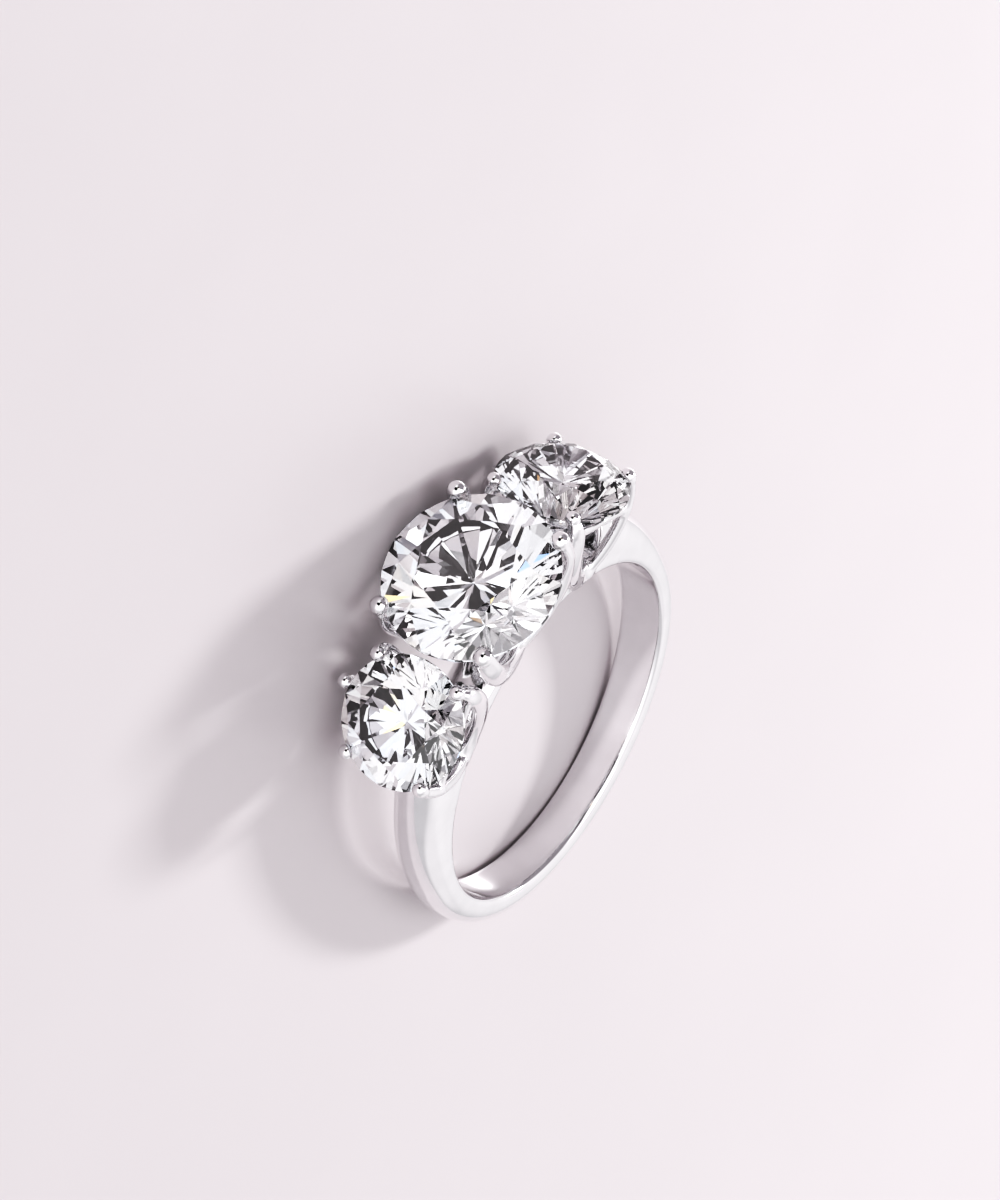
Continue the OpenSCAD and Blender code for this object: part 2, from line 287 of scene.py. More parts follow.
class Ring:
    """The ring's named sizes with what follows from them, in upright millimetres."""

    def __init__(self, sizes):
        for name in RingSizes.__annotations__:
            setattr(self, name, getattr(sizes, name))
        self.bore_r = self.finger_d / 2
        self.centre_r = self.centre_d / 2
        self.side_r = self.side_d / 2
        self.centre_h = self.bore_r + self.centre_rise
        lean = math.radians(SIDE_LEAN)
        self.lean_cos, self.lean_sin = math.cos(lean), math.sin(lean)
        self.side_x = self.centre_r + self.side_r * self.lean_cos
        self.side_h = self.centre_h - self.side_drop - self.side_r * self.lean_sin
        self.solids = self.claw_solids()

    def head_point(self, side, out, y, up):
        """A point in the frame of a stone's head; side is -1, 0 or 1."""
        if side == 0:
            return np.array([out, y, self.centre_h + up])
        c, s = self.lean_cos, self.lean_sin
        x, z = self.side_x + out * c + up * s, self.side_h - out * s + up * c
        return np.array([side * x, y, z])

    def bend(self, side, out, y, shares):
        """A bend of a side claw, from its tip's distances and the shares of them."""
        return self.head_point(side, shares[0] * out, shares[1] * y, shares[2] * self.side_r)

    def over_hole(self, side, sy, place):
        """A point round the finger hole, from its angle, its distance across and its height."""
        a, r = math.radians(place[0]), self.bore_r + place[2]
        return np.array([side * r * math.sin(a), sy * place[1], r * math.cos(a)])

    def centre_route(self, sx, sy):
        """A centre claw's curve, from its ball down to the middle of the bridge."""
        rho, a = self.centre_r + CENTRE_REACH, math.radians(CLAW_ANGLE)
        tip = self.head_point(0, sx * rho * math.cos(a), sy * rho * math.sin(a), CENTRE_LIFT)
        foot_h = self.bore_r + self.bridge_t - CENTRE_FOOT_SUNK
        bow_h = self.centre_h + CENTRE_BOW[2] * self.centre_r
        low_out, low_across = CENTRE_LOW[0] * self.centre_r, CENTRE_LOW[1] * CENTRE_FOOT_ACROSS
        return np.array([
            tip,
            [CENTRE_BOW[0] * tip[0], CENTRE_BOW[1] * tip[1], bow_h],
            [sx * low_out, sy * low_across, mix(foot_h, self.centre_h, CENTRE_LOW[2])],
            [CENTRE_FOOT_OUT * sx, sy * CENTRE_FOOT_ACROSS, foot_h]])

    def side_route(self, side, in_out, sy):
        """A side claw's curve: an outer one stands on the shoulder, an inner one sweeps past it."""
        a = math.radians(CLAW_ANGLE)
        rho = self.side_r + (OUTER_REACH if in_out > 0 else INNER_REACH)
        out, y = rho * math.cos(a), rho * math.sin(a)
        tip = self.head_point(side, in_out * out, sy * y, SIDE_LIFT)
        if in_out > 0:
            bow = self.bend(side, out, sy * y, OUTER_BOW)
            low = self.bend(side, out, sy * y, OUTER_LOW)
            foot = self.over_hole(side, sy, OUTER_FOOT)
        else:
            bow = self.bend(side, out, sy * y, INNER_BOW)
            low = self.over_hole(side, sy, INNER_LOW)
            foot = self.over_hole(side, sy, INNER_FOOT)
        return np.array([tip, bow, low, foot])

    def spare_route(self):
        """The spare claw behind the left stone rises from the middle of the back rail."""
        outer = bezier(self.side_route(-1, 1, 1), RAIL_AT)
        inner = bezier(self.side_route(-1, -1, 1), INNER_RAIL_AT)
        foot = (outer + inner) / 2
        out, back = SPARE_OUT * self.side_r, self.side_r + CENTRE_REACH
        tip = self.head_point(-1, out, back, SIDE_LIFT)
        bow = self.head_point(-1, out, back + SPARE_BOW[0], SIDE_LIFT + SPARE_BOW[1])
        low = mix(foot, tip, SPARE_LOW[0]) + [0, SPARE_LOW[1], 0]
        return np.array([tip, bow, low, foot])

    def claw_solids(self):
        """All the swept bars and balls of the heads."""
        centre = sizes_along(self.centre_claw_w, CENTRE_WIDTHS, self.centre_claw_t, CENTRE_DEPTHS)
        inner = sizes_along(self.inner_claw_w, INNER_WIDTHS, self.inner_claw_t, INNER_DEPTHS)
        outer = sizes_along(self.outer_claw_w, OUTER_WIDTHS, self.outer_claw_t, OUTER_DEPTHS)
        spare = sizes_along(self.outer_claw_w, SPARE_WIDTHS, self.outer_claw_t, SPARE_DEPTHS)
        rows = []
        for sx in (-1, 1):
            for sy in (-1, 1):
                rows += self.claw(0, self.centre_route(sx, sy), self.centre_ball_d, centre)
        for side in (-1, 1):
            for sy in (-1, 1):
                inner_route = self.side_route(side, -1, sy)
                outer_route = self.side_route(side, 1, sy)
                rows += self.claw(side, inner_route, self.side_ball_d, inner)
                rows += self.claw(side, outer_route, self.side_ball_d, outer, crisp=True)
                rows.append(self.rail(inner_route, outer_route, sy))
        rows += self.claw(-1, self.spare_route(), SPARE_BALL_SHARE * self.side_ball_d, spare)
        return rows

    def claw(self, side, route, ball_d, section, crisp=False):
        """A claw's bar and ball. The bar starts a little outside and below the ball. A crisp one
        shows its edge where it stands on the shoulder."""
        up = self.head_point(side, 0, 0, 1) - self.head_point(side, 0, 0, 0)
        away = route[0] - self.head_point(side, 0, 0, SIDE_LIFT if side else CENTRE_LIFT)
        away /= np.linalg.norm(away)
        outward = np.array([0.0, np.sign(route[0][1]), 0.0])
        start = route.copy()
        start[0] += (CRISP_BAR_OUT if crisp else SOFT_BAR_OUT) * away - BAR_DROP * up
        bar = Bar(start, section, away, outward, BALL_BLEND, crisp)
        return [bar, Ball(route[0], ball_d / 2, BALL_BLEND)]

    def rail(self, inner_route, outer_route, sy):
        """The straight rail from an inner claw to the outer one beside it."""
        a, b = bezier(inner_route, INNER_RAIL_AT), bezier(outer_route, RAIL_AT)
        route = np.array([a, mix(a, b, 1 / 3), mix(a, b, 2 / 3), b])
        face = np.array([0.0, sy, 0.0])
        section = sizes_along(self.rail_w, RAIL_WIDTHS, self.rail_w, RAIL_DEPTHS)
        return Bar(route, section, face, face, RAIL_BLEND)

    def band(self, p):
        """Distance to the band, which thickens to its shoulders and thins to the bridge."""
        x, y, z = p.T
        far = np.hypot(x, z)
        angle = np.degrees(np.arctan2(np.abs(x), -z))
        width = mix(self.band_w, self.side_w, ease(np.minimum(angle, 90) / 90)) / 2
        low = mix(self.band_t, self.side_t, ease(np.clip(angle / 90, 0, 1)))
        rise = np.clip((angle - 90) / (SHOULDER_END - 90), 0, SHOULDER_MOST) ** SHOULDER_POWER
        thick = np.where(angle < 90, low, mix(self.side_t, self.shoulder_t, rise))
        cut = math.radians(SHOULDER_CUT)
        past_cut = np.abs(x) * math.cos(cut) + z * math.sin(cut)
        shoulders = smooth_cut(self.dome(y, far, width, thick), past_cut, EDGE_BLEND)
        bridge = np.maximum(self.dome(y, far, width, self.bridge_t), -past_cut - BRIDGE_LAP)
        body = smooth_join(shoulders, bridge, BRIDGE_BLEND)
        return smooth_cut(body, self.bore_r - far, EDGE_BLEND)

    def dome(self, y, far, width, thick):
        """Signed distance to a rounded D section, from its superellipse and its slope."""
        wide = WIDEST_SHARE * thick
        q = np.abs(y) / width
        h = np.maximum(far - self.bore_r - wide, 0) / (thick - wide)
        total = np.maximum(q ** WIDTH_POWER + h ** DOME_POWER, TINY)
        level = total ** (1 / LEVEL_POWER)
        across = WIDTH_POWER * q ** (WIDTH_POWER - 1) / width
        upward = DOME_POWER * h ** (DOME_POWER - 1) / (thick - wide)
        slope = level / total / LEVEL_POWER * np.hypot(across, upward)
        return (level - 1) / np.maximum(slope, LEAST_SLOPE)

    def stone_distance(self, p, side):
        """Distance to a round brilliant with only its main planes, for the seats."""
        r = self.side_r if side else self.centre_r
        q = p - self.head_point(side, 0, 0, 0)
        if side:
            c, s = self.lean_cos, self.lean_sin
            out, up = side * q[:, 0] * c - q[:, 2] * s, side * q[:, 0] * s + q[:, 2] * c
        else:
            out, up = q[:, 0], q[:, 2]
        rho = np.hypot(out, q[:, 1])
        half = GIRDLE_SHARE * r
        crown, pavilion = math.radians(CROWN_SLOPE), math.radians(PAVILION_SLOPE)
        above = (up - half) * math.cos(crown) - (r - rho) * math.sin(crown)
        below = (-up - half) * math.cos(pavilion) - (r - rho) * math.sin(pavilion)
        return np.maximum(np.maximum(rho - r, above), below)

    def distance(self, p):
        """Signed distance to the metal at points p, negative inside it."""
        soft, crisp = np.full(len(p), FAR), np.full(len(p), FAR)
        for solid in self.solids:
            group = crisp if solid.crisp else soft
            near = np.all((p > solid.low) & (p < solid.high), axis=1)
            group[near] = smooth_join(group[near], solid.distance(p[near]), solid.blend)
        d = smooth_join(self.band(p), soft, INNER_BLEND)
        d = smooth_join(d, crisp, OUTER_BLEND)
        for side in (-1, 0, 1):
            d = smooth_cut(d, SEAT_GAP - self.stone_distance(p, side), SEAT_BLEND)
        return smooth_cut(d, self.bore_r - np.hypot(p[:, 0], p[:, 2]), BORE_BLEND)


def sizes_along(width, widths, depth, depths):
    """A claw's widths and depths at its tip, middle and foot."""
    return [width * share for share in widths], [depth * share for share in depths]


def bezier(route, s):
    """The point at the share s along a curve with four guide points."""
    s = np.asarray(s)[..., None]
    return ((1 - s) ** 3 * route[0] + 3 * (1 - s) ** 2 * s * route[1]
            + 3 * (1 - s) * s * s * route[2] + s ** 3 * route[3])


def bezier_run(route, s):
    """The curve's run at the share s, not shortened to a length of one."""
    s = np.asarray(s)[..., None]
    return 3 * ((1 - s) ** 2 * (route[1] - route[0]) + 2 * (1 - s) * s * (route[2] - route[1])
                + s * s * (route[3] - route[2]))


class Ball:
    """The ball on a claw's tip."""

    crisp = False

    def __init__(self, middle, radius, blend):
        self.middle, self.radius, self.blend = middle, radius, blend
        self.low, self.high = middle - radius - NEAR, middle + radius + NEAR

    def distance(self, p):
        """Signed distance to the ball."""
        return np.linalg.norm(p - self.middle, axis=1) - self.radius


class Bar:
    """A bar of oval section swept along a curve, whose section holds its widths and its depths at
    start, middle and end. Its face turns from one way to the other along it."""

    def __init__(self, route, section, face_from, face_to, blend, crisp=False):
        self.route, (self.widths, self.depths) = route, section
        self.face_from, self.face_to, self.blend, self.crisp = face_from, face_to, blend, crisp
        line = bezier(route, np.linspace(0, 1, BOX_PLACES))
        reach = max(self.widths) / 2 + NEAR
        self.low, self.high = line.min(axis=0) - reach, line.max(axis=0) + reach

    def distance(self, p):
        """Signed distance to the bar, from the nearest place on its curve."""
        if not len(p):
            return np.zeros(0)
        places = np.linspace(0, 1, TRIED_PLACES)
        line = bezier(self.route, places)
        gaps = ((p[:, None, :] - line[None]) ** 2).sum(axis=2)
        s = places[np.argmin(gaps, axis=1)]
        for _ in range(CORRECTIONS):
            run = bezier_run(self.route, s)
            off = p - bezier(self.route, s)
            s = np.clip(s + (off * run).sum(axis=1) / (run * run).sum(axis=1), 0, 1)
        run = bezier_run(self.route, s)
        run /= np.linalg.norm(run, axis=1)[:, None]
        off = p - bezier(self.route, s)
        raw = mix(self.face_from, self.face_to, ease(np.minimum(s / TURNED_AT, 1))[:, None])
        face = raw - (raw * run).sum(axis=1)[:, None] * run
        face /= np.linalg.norm(face, axis=1)[:, None]
        across = np.cross(run, face)
        w, t = (self.size(table, s) / 2 for table in (self.widths, self.depths))
        u, v = (off * across).sum(axis=1), (off * face).sum(axis=1)
        past = (off * run).sum(axis=1)
        q = np.sqrt((u / w) ** 2 + (v / t) ** 2 + (past / CAP) ** 2)
        slope = np.sqrt((u / w ** 2) ** 2 + (v / t ** 2) ** 2 + (past / CAP ** 2) ** 2)
        return (q - 1) * np.where(q > CORE, q / np.maximum(slope, TINY), t)

    @staticmethod
    def size(table, s):
        """The width or depth at the share s."""
        return table[0] * (1 - s) ** 2 + 2 * table[1] * s * (1 - s) + table[2] * s * s


def sample(ring, low, blocks, step):
    """The distance at every grid point. Only blocks near the metal are filled point by point; the
    others take the distance at their middle."""
    side = BLOCK * step
    at = np.stack(np.meshgrid(*map(np.arange, blocks), indexing="ij"), axis=-1).reshape(-1, 3)
    middles = low + side * (at + 0.5) - step / 2
    far = ring.distance(middles)
    grid = np.repeat(far[:, None], BLOCK ** 3, axis=1).astype(np.float32)
    close = np.flatnonzero(np.abs(far) < BLOCK_NEAR * side)
    inner = np.stack(np.meshgrid(*[np.arange(BLOCK)] * 3, indexing="ij"), axis=-1).reshape(-1, 3)
    for some in np.array_split(close, max(1, len(close) // BATCH)):
        p = low + side * at[some][:, None, :] + step * inner[None]
        grid[some] = ring.distance(p.reshape(-1, 3)).reshape(len(some), -1)
    grid = grid.reshape(*blocks, BLOCK, BLOCK, BLOCK).transpose(0, 3, 1, 4, 2, 5)
    return grid.reshape([BLOCK * n for n in blocks])


def lay_net(grid, low, step):
    """One point in each cell that the surface crosses, and a square across each grid edge that it
    crosses."""
    inside = grid < 0
    count = np.zeros(tuple(n - 1 for n in grid.shape), dtype=np.int8)
    for corner in CORNERS:
        count += inside[tuple(slice(c, n - 1 + c) for c, n in zip(corner, grid.shape))]
    cells = np.argwhere((count > 0) & (count < 8))
    number = np.full(count.shape, -1, dtype=np.int32)
    number[tuple(cells.T)] = np.arange(len(cells))
    value = [grid[tuple((cells + c).T)] for c in CORNERS]
    total, hits = np.zeros((len(cells), 3)), np.zeros(len(cells))
    for a, b in EDGES:
        crossed = (value[a] < 0) != (value[b] < 0)
        t = value[a][crossed] / (value[a][crossed] - value[b][crossed])
        total[crossed] += CORNERS[a] + t[:, None] * (CORNERS[b] - CORNERS[a])
        hits[crossed] += 1
    points = low + step * (cells + total / hits[:, None])
    squares = []
    for axis in range(3):
        one, two = (axis + 1) % 3, (axis + 2) % 3
        ahead = np.take(inside, range(1, grid.shape[axis]), axis=axis)
        here = np.take(inside, range(grid.shape[axis] - 1), axis=axis)
        for way, crossing in ((1, here & ~ahead), (-1, ahead & ~here)):
            at = np.argwhere(crossing)
            at = at[(at[:, one] > 0) & (at[:, two] > 0)]
            back_one, back_two = np.zeros(3, dtype=int), np.zeros(3, dtype=int)
            back_one[one], back_two[two] = 1, 1
            loop = [at - back_one - back_two, at - back_two, at, at - back_one][::way]
            squares.append(np.stack([number[tuple(c.T)] for c in loop], axis=1))
    return points, np.concatenate(squares)


def settle(ring, points, squares):
    """Slides the net's points evenly over the surface and then onto it."""
    links = np.concatenate([squares[:, [a, (a + 1) % 4]] for a in range(4)])
    degree = np.bincount(links[:, 0], minlength=len(points))[:, None]
    for turn in range(ROUNDS):
        d = ring.distance(points)
        slope = np.stack([(ring.distance(points + SLOPE_STEP * way) - d) / SLOPE_STEP
                          for way in np.eye(3)], axis=1)
        square = np.maximum((slope ** 2).sum(axis=1), LEAST_SQUARE)[:, None]
        points = points - np.clip(d[:, None] * slope / square, -LONGEST_MOVE, LONGEST_MOVE)
        if turn < SLIDES:
            total = [np.bincount(links[:, 0], weights=points[links[:, 1], a], minlength=len(points))
                     for a in range(3)]
            pull = SLIDE_SHARE * (np.stack(total, axis=1) / degree - points)
            normal = slope / np.sqrt(square)
            points = points + pull - (pull * normal).sum(axis=1)[:, None] * normal
    return points


class Pose:
    """How the upright ring lies on the floor: on its centre stone's girdle and its band's
    bottom."""

    def __init__(self, ring):
        lowest = ring.centre_h - GIRDLE_SHARE * ring.centre_r
        half = ring.band_w / 2
        wide = WIDEST_SHARE * ring.band_t
        rim = [(half - RIM_EDGE + across * RIM_EDGE, up * wide) for across, up in RIM_EDGE_POINTS]
        rim += [(half * math.cos(a) ** RIM_POWERS[0],
                 wide + (ring.band_t - wide) * math.sin(a) ** RIM_POWERS[1])
                for a in map(math.radians, RIM_ANGLES)]
        self.lean = min(math.atan((ring.centre_r - y) / (lowest + ring.bore_r + h)) for y, h in rim)
        c, s = math.cos(self.lean), math.sin(self.lean)
        self.floor = ring.centre_r * c - lowest * s
        crown = GIRDLE_SHARE + (1 - TABLE_SHARE) * math.tan(math.radians(CROWN_SLOPE))
        top = (ring.centre_h + ring.centre_r * crown) * c + TABLE_SHARE * ring.centre_r * s
        rim += [(-y, h) for y, h in rim] + [(0, ring.band_t)]
        bottom = min(y * s - (ring.bore_r + h) * c for y, h in rim)
        self.middle = (top + bottom) / 2

    def lay(self, p):
        """Upright millimetres to metres of the lying ring."""
        c, s = math.cos(self.lean), math.sin(self.lean)
        x, y, z = p.T
        return MM * np.stack([x, y * s + z * c - self.middle, z * s - y * c + self.floor], axis=1)


def new_mesh(name, points, faces):
    """An object in the scene with a smooth mesh of the points and faces, which all have the same
    number of corners."""
    mesh = bpy.data.meshes.new(name)
    mesh.vertices.add(len(points))
    mesh.vertices.foreach_set("co", points.astype(np.float32).ravel())
    mesh.loops.add(faces.size)
    mesh.loops.foreach_set("vertex_index", faces.astype(np.int32).ravel())
    mesh.polygons.add(len(faces))
    starts = np.arange(0, faces.size, faces.shape[1], dtype=np.int32)
    mesh.polygons.foreach_set("loop_start", starts)
    mesh.update(calc_edges=True)
    mesh.validate()
    mesh.shade_smooth()
    obj = bpy.data.objects.new(name, mesh)
    bpy.context.scene.collection.objects.link(obj)
    return obj


# The painted fire: the tints a facet may have, which stand in for the coloured flashes of
# dispersion, each from its place on a scale of chance, and how finely two facets' directions are
# told apart
PAINTED_FIRE = (
    (0.0, (1.0, 1.0, 1.0)),
    (0.5, (0.97, 0.98, 1.0)),
    (0.75, (1.0, 0.97, 0.93)),
    (0.9, (0.9, 0.95, 1.0)),
)
FACET_STEP = (0.02, 0.02, 0.02)
STONE_IOR = 2.42

# The hair lines' stretch and turn, and how many clouds of wear a metre has on metal and floor
HAIR_STRETCH = (0.2, 6.0, 3.0)
HAIR_TURN = (0.3, 0.5, 0.2)
METAL_FINENESS = 700.0
FLOOR_FINENESS = 60.0

# The detail of the noise behind the clouds and the hair lines, and the parts of its range that
# their masks are taken from
CLOUD_DETAIL = 3.0
CLOUD_PART = (0.35, 0.65)
HAIR_DETAIL = 2.0
HAIR_PART = (0.62, 0.72)

# Roughness where the surface is clear and where it is clouded, what a hair line adds to it, and the
# shade of the clouds
METAL_ROUGHNESS = (0.04, 0.085)
HAIR_ROUGHNESS = 0.05
METAL_SHADE = 0.96
FLOOR_ROUGHNESS = (0.3, 0.36)
FLOOR_SHADE = 0.985

# The colour sockets of a Mix node by number, because its other sockets have the same names
MIX_LOW, MIX_HIGH, MIX_RESULT = 6, 7, 2


def put(tree, kind, **inputs):
    """A new node; each keyword sets the input of that name, with _ for a space."""
    node = tree.nodes.new(kind)
    for name, value in inputs.items():
        node.inputs[name.replace("_", " ")].default_value = value
    return node


def node_material(name):
    """A new material with its node tree and its shader."""
    mat = bpy.data.materials.new(name)
    mat.use_nodes = True
    return mat, mat.node_tree, mat.node_tree.nodes["Principled BSDF"]


def wear_group():
    """Fine wear of a smooth surface: cloudy patches and hair lines, as masks from 0 to 1."""
    group = bpy.data.node_groups.new("fine_wear", "ShaderNodeTree")
    group.interface.new_socket("Fineness", in_out="INPUT", socket_type="NodeSocketFloat")
    group.interface.new_socket("Clouds", in_out="OUTPUT", socket_type="NodeSocketFloat")
    group.interface.new_socket("Hairs", in_out="OUTPUT", socket_type="NodeSocketFloat")
    start, end = put(group, "NodeGroupInput"), put(group, "NodeGroupOutput")
    coords = put(group, "ShaderNodeTexCoord")
    clouds = put(group, "ShaderNodeTexNoise", Detail=CLOUD_DETAIL)
    group.links.new(coords.outputs["Object"], clouds.inputs["Vector"])
    group.links.new(start.outputs["Fineness"], clouds.inputs["Scale"])
    soft = put(group, "ShaderNodeMapRange", From_Min=CLOUD_PART[0], From_Max=CLOUD_PART[1])
    group.links.new(clouds.outputs["Fac"], soft.inputs["Value"])
    stretch = put(group, "ShaderNodeMapping", Scale=HAIR_STRETCH, Rotation=HAIR_TURN)
    group.links.new(coords.outputs["Object"], stretch.inputs["Vector"])
    hairs = put(group, "ShaderNodeTexNoise", Detail=HAIR_DETAIL)
    group.links.new(stretch.outputs["Vector"], hairs.inputs["Vector"])
    group.links.new(start.outputs["Fineness"], hairs.inputs["Scale"])
    sharp = put(group, "ShaderNodeMapRange", From_Min=HAIR_PART[0], From_Max=HAIR_PART[1])
    group.links.new(hairs.outputs["Fac"], sharp.inputs["Value"])
    group.links.new(soft.outputs["Result"], end.inputs["Clouds"])
    group.links.new(sharp.outputs["Result"], end.inputs["Hairs"])
    return group


def fine_wear():
    """The one wear group that the metal and the floor share."""
    return bpy.data.node_groups.get("fine_wear") or wear_group()


def add_wear(tree, wear, fineness):
    """The wear group in a material, with this many clouds to a metre."""
    node = put(tree, "ShaderNodeGroup")
    node.node_tree = wear
    node.inputs["Fineness"].default_value = fineness
    return node


def blend_colours(tree, mask, low, high):
    """A colour that goes from low to high with the mask. Low is a colour or a node's output."""
    blend = put(tree, "ShaderNodeMix")
    blend.data_type = "RGBA"
    tree.links.new(mask, blend.inputs["Factor"])
    if isinstance(low, bpy.types.NodeSocket):
        tree.links.new(low, blend.inputs[MIX_LOW])
    else:
        blend.inputs[MIX_LOW].default_value = (*low, 1)
    blend.inputs[MIX_HIGH].default_value = (*high, 1)
    return blend.outputs[MIX_RESULT]


def add_roughness(tree, mask, clear, clouded):
    """A roughness that goes from clear to clouded with the mask."""
    rough = put(tree, "ShaderNodeMapRange", To_Min=clear, To_Max=clouded)
    tree.links.new(mask, rough.inputs["Value"])
    return rough.outputs["Result"]


def metal_material(look, wear):
    """Polished white metal with a faint haze and hair lines."""
    mat, tree, shader = node_material("polished_white_metal")
    shader.inputs["Metallic"].default_value = 1.0
    marks = add_wear(tree, wear, METAL_FINENESS)
    shade = [METAL_SHADE * part for part in look.metal_colour]
    tint = blend_colours(tree, marks.outputs["Clouds"], shade, look.metal_colour)
    tree.links.new(tint, shader.inputs["Base Color"])
    rough = add_roughness(tree, marks.outputs["Clouds"], *METAL_ROUGHNESS)
    hazy = put(tree, "ShaderNodeMath")
    hazy.operation = "MULTIPLY_ADD"
    hazy.inputs[1].default_value = HAIR_ROUGHNESS
    tree.links.new(marks.outputs["Hairs"], hazy.inputs[0])
    tree.links.new(rough, hazy.inputs[2])
    tree.links.new(hazy.outputs[0], shader.inputs["Roughness"])
    return mat


def stone_material(look):
    """Clear crystal. Each facet is painted a slight tint chosen by chance from its direction. This
    painted fire stands in for the coloured flashes of dispersion.
    """
    mat, tree, shader = node_material("cut_stone")
    shader.inputs["Transmission Weight"].default_value = 1.0
    shader.inputs["IOR"].default_value = STONE_IOR
    shader.inputs["Roughness"].default_value = 0.0
    facing = put(tree, "ShaderNodeNewGeometry")
    steps = put(tree, "ShaderNodeVectorMath")
    steps.operation = "SNAP"
    steps.inputs[1].default_value = FACET_STEP
    tree.links.new(facing.outputs["True Normal"], steps.inputs[0])
    chance = put(tree, "ShaderNodeTexWhiteNoise")
    tree.links.new(steps.outputs["Vector"], chance.inputs["Vector"])
    ramp = put(tree, "ShaderNodeValToRGB")
    ramp.color_ramp.interpolation = "CONSTANT"
    # Painted fire: each facet's random tint stands in for the coloured flashes of dispersion
    for place, tint in PAINTED_FIRE:
        step = ramp.color_ramp.elements.new(place) if place else ramp.color_ramp.elements[0]
        step.color = (*[part * own for part, own in zip(tint, look.stone_colour)], 1)
    ramp.color_ramp.elements.remove(ramp.color_ramp.elements[-1])
    tree.links.new(chance.outputs["Value"], ramp.inputs["Fac"])
    tree.links.new(ramp.outputs["Color"], shader.inputs["Base Color"])
    return mat


def floor_material(look, wear):
    """Smooth pale board with a faint cloudiness."""
    mat, tree, shader = node_material("pale_floor")
    marks = add_wear(tree, wear, FLOOR_FINENESS)
    shade = [FLOOR_SHADE * part for part in look.floor_colour]
    tint = blend_colours(tree, marks.outputs["Clouds"], shade, look.floor_colour)
    tree.links.new(tint, shader.inputs["Base Color"])
    rough = add_roughness(tree, marks.outputs["Clouds"], *FLOOR_ROUGHNESS)
    tree.links.new(rough, shader.inputs["Roughness"])
    return mat


class RingLook(bpy.types.PropertyGroup):
    """Colours of the ring."""

    metal_colour: FloatVectorProperty(name="Metal", description="Colour of the polished metal",
                                      subtype="COLOR", default=(0.9, 0.89, 0.9))
    stone_colour: FloatVectorProperty(name="Stones", description="Colour of the clear stones",
                                      subtype="COLOR", default=(0.99, 0.99, 1.0))


class RingStage(bpy.types.PropertyGroup):
    """The floor, the lights and the camera."""

    floor_colour: FloatVectorProperty(name="Floor", description="Colour of the floor",
                                      subtype="COLOR", default=(0.6, 0.56, 0.575))
    key_power: FloatProperty(name="Key light", description="Power of the main light",
                             default=1.1, min=0.0, max=10.0, unit="POWER")


# The studio's colour, and its bright and dark parts. Each part has its direction as the camera has
# it (right, up, toward the camera), the angle of its even part and the angle where it ends in
# degrees, and its colour. The last four are small coloured lights for the stones' fire.
STUDIO_BASE = (0.67, 0.66, 0.68)
STUDIO = (
    ((0.0, 0.0, 1.0), 38, 84, (1.32, 1.31, 1.33)),
    ((0.95, -0.2, -0.25), 15, 60, (1.05, 1.03, 1.05)),
    ((0.35, -0.85, -0.4), 10, 24, (0.95, 0.93, 0.95)),
    ((0.9, -0.1, 0.45), 14, 20, (2.4, 2.4, 2.45)),
    ((-0.5, -0.15, 0.85), 7, 9, (2.0, 2.0, 2.0)),
    ((-0.12, 0.3, 0.95), 16.5, 18.5, (0.01, 0.01, 0.01)),
    ((-0.35, 0.77, 0.53), 4, 6, (0.1, 0.1, 0.1)),
    ((0.74, 0.62, 0.27), 30, 38, (0.38, 0.36, 0.38)),
    ((0.3, 0.55, 0.8), 9, 12, (0.03, 0.03, 0.03)),
    ((-0.5, 0.62, 0.6), 9, 12, (0.03, 0.03, 0.03)),
    ((0.26, 0.42, 0.87), 1.2, 2.4, (2.0, 1.2, 0.6)),
    ((0.38, 0.12, 0.92), 0.8, 1.4, (0.75, 1.0, 1.45)),
    ((-0.42, 0.0, 0.9), 1.2, 2.4, (1.8, 1.5, 0.9)),
    ((0.05, -0.3, 0.95), 1.2, 2.4, (0.8, 1.1, 1.6)),
)

# The view's curve for all colours together, and its points: a brightness and what it is shown as
TONE_CURVE = 3
TONES = ((0.1, 0.033), (0.22, 0.12), (0.45, 0.415), (0.75, 0.76))

# The key light in metres
KEY_PLACE = (0.28, -0.16, 0.17)
KEY_SIZE = 0.05

# The camera: its place in millimetres, its own right, down and ahead, its lens and its sensor, and
# the nearest and the farthest that it sees, in metres
CAMERA_PLACE = (-80.9635, 245.1152, 149.9397)
CAMERA_RIGHT = (0.53174807, -0.30407793, 0.79043064)
CAMERA_DOWN = (-0.79878083, -0.49020203, 0.34878525)
CAMERA_AHEAD = (0.28141281, -0.81684673, -0.50355561)
CAMERA_LENS = 200.88
CAMERA_SENSOR = 36.0
CAMERA_SEES = (0.01, 10.0)

# Half the floor's side in metres, and its corners
FLOOR_REACH = 1.5
FLOOR_CORNERS = np.array([[-1, -1, 0], [1, -1, 0], [1, 1, 0], [-1, 1, 0]])


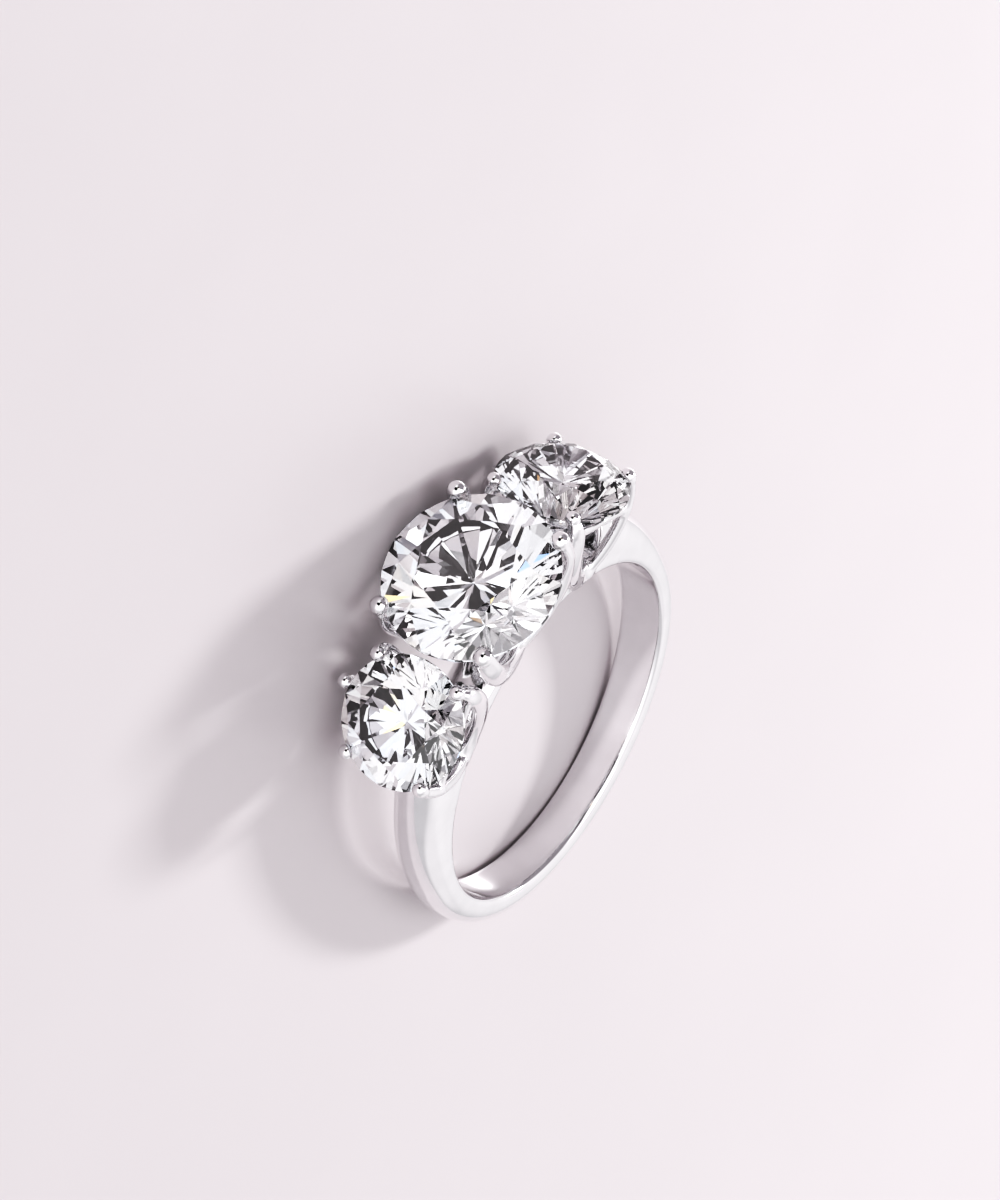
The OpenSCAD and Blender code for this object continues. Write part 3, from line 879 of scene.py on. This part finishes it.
def studio_world(look, turn):
    """A light tent with soft boxes and dark gaps, plain and pale to the camera itself."""
    world = bpy.data.worlds.new("studio")
    world.use_nodes = True
    tree = world.node_tree
    tree.nodes.clear()
    coords = put(tree, "ShaderNodeTexCoord")
    colour = STUDIO_BASE
    for toward, inner, outer, value in STUDIO:
        dot = put(tree, "ShaderNodeVectorMath")
        dot.operation = "DOT_PRODUCT"
        dot.inputs[1].default_value = (turn @ Vector(toward)).normalized()
        tree.links.new(coords.outputs["Generated"], dot.inputs[0])
        edge = put(tree, "ShaderNodeMapRange", From_Min=math.cos(math.radians(outer)),
                   From_Max=math.cos(math.radians(inner)))
        edge.interpolation_type = "SMOOTHSTEP"
        tree.links.new(dot.outputs["Value"], edge.inputs["Value"])
        colour = blend_colours(tree, edge.outputs["Result"], colour, value)
    seen = put(tree, "ShaderNodeBackground", Color=(*look.floor_colour, 1))
    lit = put(tree, "ShaderNodeBackground")
    tree.links.new(colour, lit.inputs["Color"])
    path = put(tree, "ShaderNodeLightPath")
    choose = put(tree, "ShaderNodeMixShader")
    tree.links.new(path.outputs["Is Camera Ray"], choose.inputs["Fac"])
    tree.links.new(lit.outputs[0], choose.inputs[1])
    tree.links.new(seen.outputs[0], choose.inputs[2])
    out = put(tree, "ShaderNodeOutputWorld")
    tree.links.new(choose.outputs[0], out.inputs["Surface"])
    return world


def place_camera(scene):
    """Puts up the camera and returns how it is turned."""
    cam = bpy.data.objects.new("camera", bpy.data.cameras.new("camera"))
    scene.collection.objects.link(cam)
    cam.data.sensor_width = CAMERA_SENSOR
    cam.data.lens = CAMERA_LENS
    cam.data.clip_start, cam.data.clip_end = CAMERA_SEES
    axes = Vector(CAMERA_RIGHT), -Vector(CAMERA_DOWN), -Vector(CAMERA_AHEAD)
    turn = Matrix(axes).transposed()
    cam.matrix_world = Matrix.Translation(MM * Vector(CAMERA_PLACE)) @ turn.to_4x4()
    scene.camera = cam
    return turn


def set_tones(view):
    """Gives the view its plain transform and the tone curve."""
    view.view_transform = "Standard"
    view.use_curve_mapping = True
    tone = view.curve_mapping
    for brightness, shown in TONES:
        tone.curves[TONE_CURVE].points.new(brightness, shown)
    tone.update()


def place_key(scene, power):
    """Puts up the main light, turned to the ring."""
    lamp = bpy.data.lights.new("key", "AREA")
    lamp.energy = power
    lamp.size = KEY_SIZE
    key = bpy.data.objects.new("key", lamp)
    scene.collection.objects.link(key)
    key.location = KEY_PLACE
    key.rotation_mode = "QUATERNION"
    key.rotation_quaternion = (-key.location).to_track_quat("-Z", "Y")


class RING_OT_setting(bpy.types.Operator):
    """Lays the metal's skin and puts it in place of the frame's plain setting"""

    bl_idname = "ring.setting"
    bl_label = "Build Setting"

    def execute(self, context):
        ring = Ring(context.scene.ring_sizes)
        step = ring.net * 1
        low = np.array(NET_LOW)
        blocks = [int(n) for n in np.ceil((NET_HIGH - low) / (BLOCK * step))]
        grid = sample(ring, low, blocks, step)
        points, squares = lay_net(grid, low, step)
        points = settle(ring, points, squares)
        laid = np.clip(Pose(ring).lay(points), cad_box[0], cad_box[1])
        skin = new_mesh("setting_skin", laid, squares)
        skin.data.materials.append(metal_material(context.scene.ring_look, fine_wear()))
        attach(skin, "root")
        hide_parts("setting")
        return {"FINISHED"}


class RING_OT_stones(bpy.types.Operator):
    """Gives the three cut stones their clear material"""

    bl_idname = "ring.stones"
    bl_label = "Finish Stones"

    def execute(self, context):
        mat = stone_material(context.scene.ring_look)
        for name in ("centre_stone", "left_stone", "right_stone"):
            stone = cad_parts[name]
            for slot in stone.material_slots:
                slot.material = mat
        return {"FINISHED"}


class RING_OT_stage(bpy.types.Operator):
    """Sets up the floor, the lights and the camera"""

    bl_idname = "ring.stage"
    bl_label = "Set Stage"

    def execute(self, context):
        scene, look = context.scene, context.scene.ring_stage
        turn = place_camera(scene)
        floor = new_mesh("floor", FLOOR_REACH * FLOOR_CORNERS, np.array([[0, 1, 2, 3]]))
        floor.data.materials.append(floor_material(look, fine_wear()))
        scene.world = studio_world(look, turn)
        set_tones(scene.view_settings)
        place_key(scene, look.key_power)
        return {"FINISHED"}


class RING_PT_panel(bpy.types.Panel):
    """Lists the ring's sizes, colours and builders"""

    bl_label = "Three Stone Ring"
    bl_idname = "RING_PT_panel"
    bl_space_type = "VIEW_3D"
    bl_region_type = "UI"
    bl_category = "Ring"

    def draw(self, context):
        for group in (context.scene.ring_sizes, context.scene.ring_look, context.scene.ring_stage):
            for name in group.bl_rna.properties.keys():
                if name not in ("rna_type", "name"):
                    self.layout.prop(group, name)
        for operator in (RING_OT_setting, RING_OT_stones, RING_OT_stage):
            self.layout.operator(operator.bl_idname)


CLASSES = (RingSizes, RingLook, RingStage, RING_OT_setting, RING_OT_stones, RING_OT_stage,
           RING_PT_panel)


def register():
    for cls in CLASSES:
        bpy.utils.register_class(cls)
    bpy.types.Scene.ring_sizes = PointerProperty(type=RingSizes)
    bpy.types.Scene.ring_look = PointerProperty(type=RingLook)
    bpy.types.Scene.ring_stage = PointerProperty(type=RingStage)


def unregister():
    for name in ("ring_sizes", "ring_look", "ring_stage"):
        delattr(bpy.types.Scene, name)
    for cls in reversed(CLASSES):
        bpy.utils.unregister_class(cls)


def main():
    register()
    bpy.ops.ring.setting()
    bpy.ops.ring.stones()
    bpy.ops.ring.stage()


if __name__ == "__main__":
    main()
